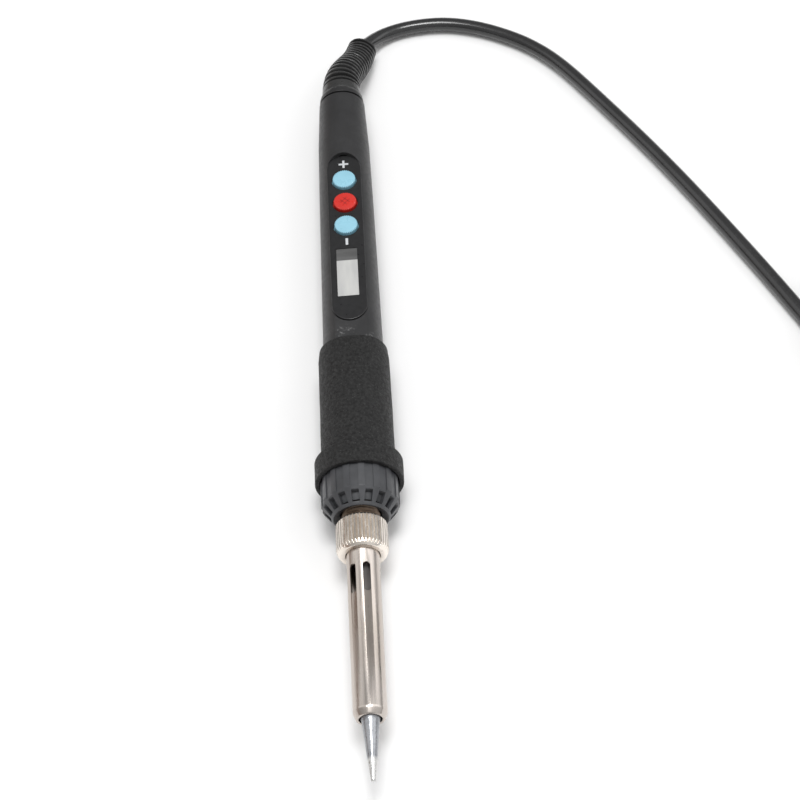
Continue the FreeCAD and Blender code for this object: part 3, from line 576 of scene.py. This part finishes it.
def make_world():
    """A pale room: bright overhead, dim along its horizon and behind the cord, and warmer low on the left.

    A view that sees past the floor's edge sees a plain pale backdrop.
    """
    world = bpy.data.worlds.new("studio")
    bpy.context.scene.world = world
    world.use_nodes = True
    room = Nodes(world.node_tree, "Generated")
    across, along, up = [room.along(letter) for letter in "XYZ"]
    light = room.ramp(up, [(at, grey(value)) for at, value in ROOM_BY_HEIGHT])
    light = room.dimmed(light, room.span(across, -0.4, 0.45, 0.74, 1.16))
    light = room.dimmed(light, room.span(along, 0.3, 0.5, 1.0, 0.58))
    low_left = room.multiplied(room.span(across, -0.35, -0.75), room.span(up, 0.32, 0.12))
    light = room.mix(low_left, light, WARM_WALL)
    past_floor = room.nodes.new("ShaderNodeLightPath").outputs["Is Camera Ray"]
    light = room.mix(past_floor, light, BACKDROP)
    room.links.new(light, room.nodes["Background"].inputs["Color"])
    bpy.context.scene.view_settings.view_transform = "Standard"


LAMP_AIM = Vector((0, 0, 0.01))
# The room's brightness by height, from straight down (0) through the horizon to straight up (1).
ROOM_BY_HEIGHT = [(0.0, 0.16), (0.07, 0.14), (0.16, 0.55), (0.5, 0.58), (0.75, 0.62), (1.0, 0.75)]
WARM_WALL = (0.26, 0.17, 0.125)
BACKDROP = (0.86, 0.86, 0.86)


# ---------------------------------------------------------------- tip, tube and nut

DISPLAY_FADE = ((PANEL_MID - 8.3) * MM + TIP_END, (PANEL_MID - 8.1) * MM + TIP_END)
TINNED_FADE = (5.4 * MM + TIP_END, 6.2 * MM + TIP_END)
SCUFFED = (124 * MM + TIP_END, 130 * MM + TIP_END)


def make_tip():
    """A cone with a lumpy tinned end, a collar in the tube's mouth and a hollow shank for the heater."""
    tinned = 6
    blend = 2
    lump = 0.02
    outline = rounded([
        (0, 0, 0), (0.62, 0.0, 0.45), (0.72, 1.0, 1.5), (2.2, 15.5, 3.0),
        (2.65, 16.7, 0.5), (2.65, 18.2, 0.1), (3.25, 18.8, 0.3), (3.25, 42, 0.2),
        (2.05, 42, 0.2), (2.05, 20.2, 0), (0, 19.2, 0),
    ], 6)
    rng = random.Random(4)
    waves = [(rng.uniform(0, 6.28), rng.uniform(0.8, 2.5)) for _ in range(3)]

    def uneven(angle, radius, station):
        if station > tinned:
            return radius
        lumps = sum(math.sin(station * speed * 2 + phase + angle) for phase, speed in waves)
        return radius * (1 + lump * lumps * min(1, (tinned - station) / blend))

    bm = lathe(outline, shape=uneven)
    new_piece("soldering_tip_cone", bm, "tip_steel", "barrel", ["soldering_tip"])


def make_tube():
    """A thin tube swaged in at its mouth, with a flange under the nut and two groups of three slots."""
    wall = 0.4
    radius = 4.22
    flange_radius = 4.95
    mouth = 2.85
    outline = rounded([
        (mouth, 16.0, 0.15), (3.5, 16.0, 0.9), (radius, 17.7, 2.2), (radius, 63.1, 0.0),
        (flange_radius, 63.1, 0.1), (flange_radius, 63.8, 0.1), (radius - wall, 63.8, 0.1),
        (radius - wall, 17.9, 1.8), (3.4, 16.4, 0.6), (mouth, 16.4, 0.15),
    ], 10)
    width, front, rear = 1.9, 49.2, 57.5
    first, step = 14, 51.4
    middle = Matrix.Translation((0, (front + rear) / 2, 0))
    slots = []
    for number in range(3):
        for opposite in (0, 180):
            turn = Matrix.Rotation(math.radians(first - step * number + opposite), 4, "Y")
            slots.append(prism(stadium(width, rear - front), 2.0, 6.0, AXIS @ turn @ middle))
    data = softened(carved(lathe(outline, segments=192), [merged(slots)]), 0.07, 45)
    new_piece("sleeve_tube_slotted", data, "nickel", "barrel", ["sleeve_tube"])


def make_nut():
    """Straight grooves that run out in points where they meet the rounded ends."""
    ridges = 44
    full = 6.6
    depth = 0.42
    slope = 1.6
    bore = 4.4
    thread = 5.15
    outline = rounded([
        (bore, 61.4, 0.15), (5.7, 61.4, 0.5), (6.28, 62.0, 0.8), (full, 62.9, 0.4), (full, 70.0, 0.3),
        (6.2, 70.65, 0.3), (5.6, 70.8, 0.1), (thread, 70.8, 0), (thread, 62.9, 0), (bore, 62.9, 0.1),
    ], 6)

    def knurled(angle, radius, station):
        if radius <= full - depth:
            return radius
        phase = angle * ridges / TAU % 1.0
        rise = min(1.0, slope * (1 - abs(2 * phase - 1)))
        return min(radius, full - depth * (1 - rise))

    grooved = 6.1
    detailed = []
    for first, second in zip(outline, outline[1:] + outline[:1]):
        steps = 10 if min(first.x, second.x) > grooved and (second - first).length > 0.15 else 1
        detailed += [first.lerp(second, step / steps) for step in range(steps)]
    bm = lathe(detailed, segments=ridges * 12, shape=knurled)
    new_piece("barrel_nut_knurled", bm, "nut_nickel", "nut", ["barrel_nut"])


def make_socket():
    """The threaded neck behind the nut, with its flange and rear sleeve; its brass is painted dark brown as
    painted shade, for the shadow it sits in behind the nut.
    """
    bore, root, crest = 1.95, 4.55, 5.0
    pitch = 1.0
    outline = [(bore, 64.0), (4.6, 64.0)]
    station = 64.3
    while station < 77:
        outline += [(root, station), (crest, station + pitch / 2)]
        station += pitch
    outline += [(4.6, 77.5), (crest, 78.0), (crest, 81.6), (7.9, 81.6), (7.9, 82.8), (5.5, 82.8),
                (5.5, 95.5), (bore, 95.5)]
    bm = lathe(outline, segments=96)
    new_piece("threaded_neck", bm, "neck_brass", "handle", ["heater_socket"])


# ---------------------------------------------------------------- nose, grip and handle

def make_nose():
    """A dished front, sixteen windows round the taper, and a flat behind each window."""
    count, first = 16, -4.5
    outer, spigot, mouth = 10.02, 6.7, 5.3
    outline = rounded([
        (mouth, 73.2, 0.1), (6.95, 72.3, 0.08), (7.1, 72.3, 0.1), (outer, 76.2, 0.25), (outer, 84.3, 0),
        (spigot, 84.3, 0), (spigot, 92, 0.2), (5.6, 92, 0), (5.6, 82.9, 0), (8.9, 82.9, 0), (8.9, 76.6, 0),
        (6.8, 74.0, 0), (mouth, 74.0, 0.1),
    ], 4)
    window = rectangle(1.95, 2.5, 0, 74.25, 0.15)
    flat = rectangle(2.2, 10, 0, 80.6)
    flat_radius = 9.7
    windows, flats = [], []
    for number in range(count):
        turn = Matrix.Rotation(math.radians(first + 360 / count * number), 4, "Y")
        windows.append(prism(window, 6.2, 12, AXIS @ turn))
        flats.append(prism(flat, flat_radius, 12, AXIS @ turn))
    data = carved(lathe(outline, segments=192), [merged(windows), merged(flats)])
    new_piece("nose_collar_vented", softened(data, 0.08, 24), "nose_plastic", "handle", ["nose_collar"],
              flat=True)
    liner = rounded([
        (6.05, 74.4, 0.1), (6.5, 74.15, 0.1), (8.75, 76.75, 0.3), (8.75, 82.7, 0),
        (8.1, 82.7, 0), (8.1, 77.0, 0.2),
    ])
    new_piece("nose_inner_liner", lathe(liner, segments=144), "liner_plastic", "handle", ["nose_liner"])


def make_grip():
    """Foam that is never quite round; its rear follows the flat on the handle's top."""
    flange, recess, bore = 11.45, 10.3, 8.04
    outline = rounded([
        (recess, 82.8, 0.12), (flange, 82.8, 0.4), (flange, 89.3, 0.5), (9.62, 89.3, 0.35), (9.57, 96, 8),
        (9.42, 121.3, 2.5), (9.05, 124.5, 1.2), (bore, 124.5, 0), (bore, 84.6, 0), (recess, 84.6, 0),
    ], 8)
    sunk, sunk_from, sunk_over = 0.85, 112, 9
    rear, skin = 123, 9
    inset, ripple = 0.03, 0.012
    rng = random.Random(11)
    waves = [(rng.randint(2, 7), rng.uniform(0.03, 0.14), rng.uniform(0, 6.28)) for _ in range(6)]

    def soft(angle, radius, station):
        share = min(1, max(0, (station - sunk_from) / sunk_over))
        sink = sunk * max(0, math.cos(angle)) ** 5 * share
        if radius < skin or station > rear:
            return radius - sink
        dent = sum(math.sin(turns * angle + speed * station * 5 + phase) for turns, speed, phase in waves)
        return radius - inset - ripple * dent - sink

    row = 1.5
    fine = []
    for first, second in zip(outline, outline[1:] + outline[:1]):
        outside = first.x > 8 and second.x > 8
        steps = max(1, int(abs(first.y - second.y) / row)) if outside else 1
        fine += [first.lerp(second, step / steps) for step in range(steps)]
    bm = lathe(fine, segments=160, shape=soft)
    new_piece("grip_sleeve_foam", bm, "grip_rubber", "handle", ["grip_sleeve"])


def make_handle():
    """A tapered shell with a flat on its top, the panel's recess and openings, and a grooved rear collar."""
    front, rear = 84.6, 212.3
    outer = [(8.0, front, 0), (8.0, 127, 40), (7.48, 177, 60), (7.2, 196, 25), (6.48, rear, 0.2)]
    inner = [(5.28, rear, 0), (6.0, 196, 0), (6.28, 177, 0), (6.8, 127, 0), (6.8, front, 0)]
    bm = lathe(rounded(outer + inner, 10), segments=192)
    # The flat on top is backed by a floor, and by a narrower block where no plate covers it.
    floor = prism(rectangle(8.8, 82, 0, -8), -1.4, -0.5, PANEL)
    block = prism(rectangle(7, 19, 0, -37.1), -0.9, 0.3, PANEL)
    flat = prism(along_panel(stadium(9.6, 78.3), -9.5), 0, 4, PANEL)
    recess = prism(along_panel(stadium(9.6, 58.6), 0.3), -0.6, 2, PANEL)
    openings = panel_openings(0, 3.55, -3, 2)
    data = carved(bm, [flat, recess, merged(openings)], [floor, block])
    new_piece("handle_body_shell", softened(data, 0.12, 24), "handle_plastic", "handle", ["handle_body"],
              flat=True)
    bore, neck = 4.7, 5.7
    collar = rounded([
        (bore, 212.4, 0.1), (neck, 212.4, 0), (neck, 213.1, 0), (6.3, 213.1, 0.12), (6.2, 214.4, 0.6),
        (5.95, 215.35, 0.3), (bore, 215.35, 0.1),
    ], 5)
    new_piece("rear_collar_ring", lathe(collar), "collar_plastic", "handle", ["rear_collar"])


# ---------------------------------------------------------------- control panel

# Stations along the panel from its middle, and the display's opening: width, length, x and station.
BUTTONS = (3.85, 12.1, 20.35)
DISPLAY = (5.85, 16.4, -0.2, -12.3)
PLUS_STATION = 26.3
MINUS_STATION = -1.76


def along_panel(outline, station):
    return [(x, y + station) for x, y in outline]


def panel_openings(corner, radius, low, high):
    """Prisms for the display's opening and the three buttons' holes."""
    shapes = [prism(rectangle(*DISPLAY, corner), low, high, PANEL)]
    shapes += [prism(circle(radius, 0, station), low, high, PANEL) for station in BUTTONS]
    return shapes


def make_panel():
    """The glossy plate with its openings, the display's lens and the raised plus and minus marks."""
    plate = softened(prism(along_panel(stadium(9.5, 58.1), 0.5), -0.55, 0, PANEL), 0.28, 40, 4)
    data = softened(carved(plate, [merged(panel_openings(0.15, 3.5, -2, 1))]), 0.07, 40)
    new_piece("control_panel_plate", data, "panel_plastic", "handle", ["control_panel"],
              flat=True)
    wide, long, x, station = DISPLAY
    gap = 0.1
    lens = prism(rectangle(wide - gap, long - gap, x, station, 0.2), -1.3, -0.12, PANEL)
    new_piece("lcd_window_lens", softened(lens, 0.08, 40), "display_glass", "handle", ["lcd_window"],
              flat=True)
    arm, reach = 0.3, 1.35
    cross = [(-arm, -reach), (arm, -reach), (arm, -arm), (reach, -arm), (reach, arm), (arm, arm),
             (arm, reach), (-arm, reach), (-arm, arm), (-reach, arm), (-reach, -arm), (-arm, -arm)]
    low, high = -0.05, 0.025
    plus = prism(along_panel(cross, PLUS_STATION), low, high, PANEL)
    minus = prism(rectangle(0.7, 2.3, 0, MINUS_STATION, 0.12), low, high, PANEL)
    new_piece("panel_markings", merged([plus, minus]), "marking_white", "handle")


def make_buttons():
    """Three fluted caps, each on a wider foot, and a raised hatch on the middle one."""
    base = -2.0
    top = 2.9
    foot, stem, cap = 3.75, 3.18, 3.2
    flutes = 36
    flute = 0.26
    flute_start = 1.2
    stand = Matrix.Rotation(math.radians(90), 4, "X")

    def fluted(angle, radius, station):
        """Fine flutes round the side of the cap."""
        if radius < 2.8 or radius > 3.5 or station < flute_start:
            return radius
        share = min(1, (station - flute_start) / 0.4)
        return radius - flute * (1 - abs(math.sin(angle * flutes / 2))) * share

    outline = rounded([
        (0, 0, 0), (foot, 0, 0.1), (foot, 0.5, 0.1), (stem, 0.5, 0.05), (stem, 1.3, 0), (cap, 1.7, 0),
        (cap, 2.6, 0.12), (3.05, 2.78, 0.2), (1.6, 2.88, 3), (0, top, 0),
    ], 5)
    keys = [("down", "button_blue"), ("power", "button_red"), ("up", "button_blue")]
    for (name, material), station in zip(keys, BUTTONS):
        place = PANEL @ Matrix.Translation((0, station, base)) @ stand
        new_piece("button_%s_cap" % name, lathe(outline, place, 252, fluted), material, name + "_key",
                  ["button_" + name])
    lines = []
    middle = Matrix.Translation((0, BUTTONS[1], 0))
    hatch_low, hatch_high = 0.8, 0.93
    for turn in (45, 135):
        for offset in (-0.55, 0.55):
            place = PANEL @ middle @ Matrix.Rotation(math.radians(turn), 4, "Z")
            lines.append(prism(rectangle(2.6, 0.17, 0, offset, 0.05), hatch_low, hatch_high, place))
    new_piece("button_power_relief", merged(lines), "relief_red", "power_key")


# ---------------------------------------------------------------- strain relief, cord and plug

RELIEF_CURVE = [(0, 108.5, 11.45), (0, 113.2, 11.5), (0.4, 119.2, 11.0), (4.5, 122.7, 5.6), (5.0, 128.4, 4.9),
                (6.6, 133.2, 4.5)]

# The cord's route in metres, as laid in the CAD model: off the strain relief, along the floor, to its coil.
CORD_ROUTE = [
    (0.0066, 0.1332, 0.0045),
    (0.0098, 0.1375, 0.0031),
    (0.0157, 0.1411, 0.0023),
    (0.0237, 0.1426, 0.0023),
    (0.0321, 0.1424, 0.0023),
    (0.0400, 0.1402, 0.0023),
    (0.0481, 0.1363, 0.0023),
    (0.0563, 0.1308, 0.0023),
    (0.0643, 0.1226, 0.0023),
    (0.0742, 0.1076, 0.0023),
    (0.0911, 0.0804, 0.0023),
    (0.1083, 0.0486, 0.0023),
    (0.12105, 0.0234, 0.0023),
]
TAIL_ROUTE = [
    (0.1322, 0.0259, 0.0115),
    (0.1324, 0.0154, 0.0138),
    (0.1369, 0.0049, 0.0175),
    (0.1459, -0.0019, 0.0203),
    (0.1564, -0.0034, 0.0209),
]
COIL_CENTRE = (0.1574, 0.0169)
CORD_DIAMETER = 0.0046
# Each turn of the coil: its radius and its height in cord diameters from the coil's middle and floor.
COIL_TURNS = [(1, 0), (0, 0), (-1, 0), (-1, 1), (0, 1), (1, 1), (1, 2), (0, 2)]
COIL_MIDDLE = 0.025
COIL_START = math.radians(206.5)
COIL_END = math.radians(175) + TAU * len(COIL_TURNS)
POINTS_PER_TURN = 20


def coil_points():
    """Neat turns side by side, each stepping over to the next in the last third of its round."""
    points = []
    steps = int(POINTS_PER_TURN * (COIL_END - COIL_START) / TAU)
    for step in range(steps):
        angle = COIL_START + (COIL_END - COIL_START) * step / steps
        rounds = (angle - COIL_START) / TAU
        turn = min(int(rounds), len(COIL_TURNS) - 1)
        after = min(turn + 1, len(COIL_TURNS) - 1)
        part = max(0.0, (rounds - turn - 0.66) / 0.34)
        part = part * part * (3 - 2 * part)
        across, level = [COIL_TURNS[turn][n] * (1 - part) + COIL_TURNS[after][n] * part for n in (0, 1)]
        radius = (COIL_MIDDLE + across * CORD_DIAMETER) / math.cos(math.pi / POINTS_PER_TURN)
        points.append((COIL_CENTRE[0] + radius * math.cos(angle), COIL_CENTRE[1] + radius * math.sin(angle),
                       CORD_DIAMETER * (0.5 + level)))
    return points


def spline_path(route, detail):
    """Points along the smooth spline through a route's control points."""
    curve = bpy.data.curves.new("route", "CURVE")
    curve.dimensions = "3D"
    curve.resolution_u = detail
    spline = curve.splines.new("NURBS")
    spline.points.add(len(route) - 1)
    for point, place in zip(spline.points, route):
        point.co = (*place, 1)
    spline.order_u = 3
    spline.use_endpoint_u = True
    holder = bpy.data.objects.new("route", curve)
    bpy.context.scene.collection.objects.link(holder)
    bpy.context.view_layer.update()
    seen = holder.evaluated_get(bpy.context.evaluated_depsgraph_get())
    line = bpy.data.meshes.new_from_object(seen)
    points = [vertex.co.copy() for vertex in line.vertices]
    bpy.data.objects.remove(holder)
    return points


def headed(points):
    """(point, heading) pairs along a line of points."""
    pairs = []
    for number, point in enumerate(points):
        before = points[max(0, number - 1)]
        after = points[min(len(points) - 1, number + 1)]
        pairs.append((point, (after - before).normalized()))
    return pairs


def run_lengths(points):
    """The length along a line of points up to each of them."""
    lengths = [0.0]
    for first, second in zip(points, points[1:]):
        lengths.append(lengths[-1] + (second - first).length)
    return lengths


def make_cord():
    """A jacket a little wider than thick, which turns slowly about its line."""
    points = spline_path(CORD_ROUTE + coil_points() + TAIL_ROUTE, 6)
    lengths = run_lengths(points)
    wide, thick = CORD_DIAMETER / 2, CORD_DIAMETER * 0.44
    twist_start, twist_rate = 0.6, 9.0
    around = 24

    def section(number):
        twist = twist_start + lengths[number] * twist_rate
        side, over = math.cos(twist), math.sin(twist)
        ring = []
        for step in range(around):
            angle = TAU * step / around
            x, y = wide * math.cos(angle), thick * math.sin(angle)
            ring.append((x * side - y * over, x * over + y * side))
        return ring

    cord = new_piece("mains_cord", tube_mesh(headed(points), section), "cord_rubber", "handle",
                     ["cord_lead", "cord_tail", "cord_coil"])
    return cord, points


def on_curve(corners, part):
    """A point on a Bezier curve, part of the way along it, in metres."""
    points = [Vector(corner) for corner in corners]
    while len(points) > 1:
        points = [first.lerp(second, part) for first, second in zip(points, points[1:])]
    return points[0] * MM


def make_relief():
    """A plain band and fifteen ribs on a tapered boot that bends to the right and down to the floor."""
    count = 15
    rows = 24 * count
    root, end = 5.6, 4.25
    groove_depth = 1.35
    band = 2.9 * MM
    edge = 0.3 * MM
    band_front = Vector((0, 106.9, 11.45)) * MM
    points = [band_front + Vector((0, ahead, 0)) * MM for ahead in (0, 0.12, 0.3)]
    points += [on_curve(RELIEF_CURVE, number / rows) for number in range(rows + 1)]
    lengths = run_lengths(points)
    whole = lengths[-1]

    def radius_at(length):
        """Rounded at its front edge, then grooves with steep walls between the ribs."""
        full = root + (end - root) * length / whole
        if length < band:
            return full - 0.22 * max(0, 1 - length / edge) ** 2
        phase = (length - band) / (whole - band) * count % 1.0
        wave = 0.5 + 0.5 * math.cos(TAU * phase)
        groove = min(1.0, max(0.0, (wave - 0.22) / 0.45))
        return full - groove_depth * groove * groove * (3 - 2 * groove) * (1 - 0.2 * length / whole)

    def section(number):
        return circle(radius_at(lengths[number]) * MM)

    boot = tube_mesh(headed(points), section)
    shank = lathe(rounded([
        (0, 208.4, 0), (5.2, 208.4, 0.2), (5.2, 212.2, 0.1), (4.65, 212.25, 0), (4.65, 215.6, 0),
        (0, 215.6, 0),
    ]), segments=72)
    new_piece("strain_relief_boot", merged([boot, shank]), "relief_rubber", "handle", ["strain_relief"])


def make_tie():
    """A strap round the coil's section, at its far side."""
    middle = COIL_MIDDLE / MM
    height = 7.3
    half_wide = 2.5
    coil = Matrix.Translation((*COIL_CENTRE, 0)) @ ROW
    place = coil @ Matrix.Translation((0, middle, height)) @ Matrix.Rotation(math.radians(90), 4, "Y")
    outer = rectangle(14.5, 15.2, 0, 0, 3.2)
    inner = rectangle(13.2, 13.9, 0, 0, 2.6)
    band = carved(prism(outer, -half_wide, half_wide, place), [prism(inner, -4, 4, place)])
    return new_piece("coil_tie_strap", softened(band, 0.25, 40), "tie_plastic", "handle", ["coil_tie"])


def plug_sections():
    """The plug's sections along x: place, half width, half thickness, and how square it is (1 is round)."""
    sections = [(-6.0, 2.9, 2.9, 1.0)]
    groove = 0.6
    for rib in range(5):
        start = -5.6 + rib * 1.8
        size = 3.2 + rib * 0.25
        small = size - groove
        sections += [(start, size, size, 1.0), (start + 1.0, size, size, 1.0)]
        sections += [(start + 1.2, small, small, 1.0), (start + 1.6, small, small, 1.0)]
    return sections + [
        (3.6, 4.6, 4.4, 0.9), (4.6, 7.6, 5.2, 0.75), (7.0, 10.8, 5.9, 0.6), (11.0, 15.2, 6.5, 0.5),
        (14.5, 17.2, 6.85, 0.42), (17, 17.55, 6.95, 0.4), (24.6, 17.6, 6.95, 0.4), (25.6, 17.2, 6.6, 0.4),
        (26.0, 16.4, 5.9, 0.4),
    ]


def make_plug():
    """A flat two-pin plug lying on the coil, with a ribbed boot for its cord."""
    low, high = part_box("plug_body")
    middle = Vector((COIL_CENTRE[0], (low.y + high.y) / 2, (low.z + high.z) / 2))
    place = Matrix.Translation(middle) @ ROW
    bm = bmesh.new()
    rings = []
    around = 96
    for x, wide, thick, power in plug_sections():
        ring = []
        for number in range(around):
            angle = TAU * number / around
            c, s = math.cos(angle), math.sin(angle)
            y = wide * math.copysign(abs(c) ** power, c)
            z = thick * math.copysign(abs(s) ** power, s)
            ring.append(bm.verts.new(place @ Vector((x, y, z))))
        rings.append(ring)
    for first, second in zip(rings, rings[1:]):
        for number in range(around):
            after = (number + 1) % around
            bm.faces.new((first[number], first[after], second[after], second[number]))
    bm.faces.new(rings[0])
    bm.faces.new(rings[-1])
    bmesh.ops.recalc_face_normals(bm, faces=bm.faces)
    plug = new_piece("plug_body_moulded", bm, "plug_plastic", "handle", ["plug_body"])

    spacing = 19
    sleeve_outline = rounded([(0, 25.5, 0), (1.95, 25.5, 0), (1.95, 36, 0.15), (0, 36, 0)])
    pin_outline = rounded([(0, 35.5, 0), (2.0, 35.5, 0), (2.0, 45, 1.1), (0, 45, 0)], 6)
    sleeves, pins = [], []
    for side in (-spacing / 2, spacing / 2):
        turn = place @ Matrix.Translation((0, side, 0)) @ Matrix.Rotation(math.radians(-90), 4, "Z")
        sleeves.append(lathe(sleeve_outline, turn, 48))
        pins.append(lathe(pin_outline, turn, 48))
    sleeve = new_piece("plug_pin_sleeves", merged(sleeves), "plug_plastic", "handle")
    pin = new_piece("plug_pin_metal", merged(pins), "pin_metal", "handle", ["plug_pins"])
    return plug, sleeve, pin


# ---------------------------------------------------------------- CAD nodes that stay

KEPT_NODES = {
    "heater_element": "heater_ceramic",
    "lcd_module": "component_black",
    "tactile_switches": "component_black",
    "circuit_board": "board_green",
    "board_screws": "screw_steel",
    "control_chip": "component_black",
    "power_triac": "component_black",
    "smoothing_capacitor": "capacitor_sleeve",
    "safety_capacitor": "capacitor_box",
    "heater_leads": "lead_insulation",
    "earth_lead": "earth_insulation",
    "supply_cores": "lead_insulation",
    "cord_inner_end": "cord_rubber",
    "cord_clamp": "clamp_plastic",
    "clamp_screws": "screw_steel",
}


def paint_kept_nodes():
    for name, material in KEPT_NODES.items():
        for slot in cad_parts[name].material_slots:
            slot.material = MATERIALS[material]


# ---------------------------------------------------------------- build

make_camera()
MATERIALS = make_materials()
cord, cord_path = make_cord()
make_relief()
tie = make_tie()
plug = make_plug()
make_tip()
make_tube()
make_nut()
make_socket()
make_nose()
make_grip()
make_handle()
make_panel()
make_buttons()
paint_kept_nodes()
make_floor()
make_lamps()
make_world()
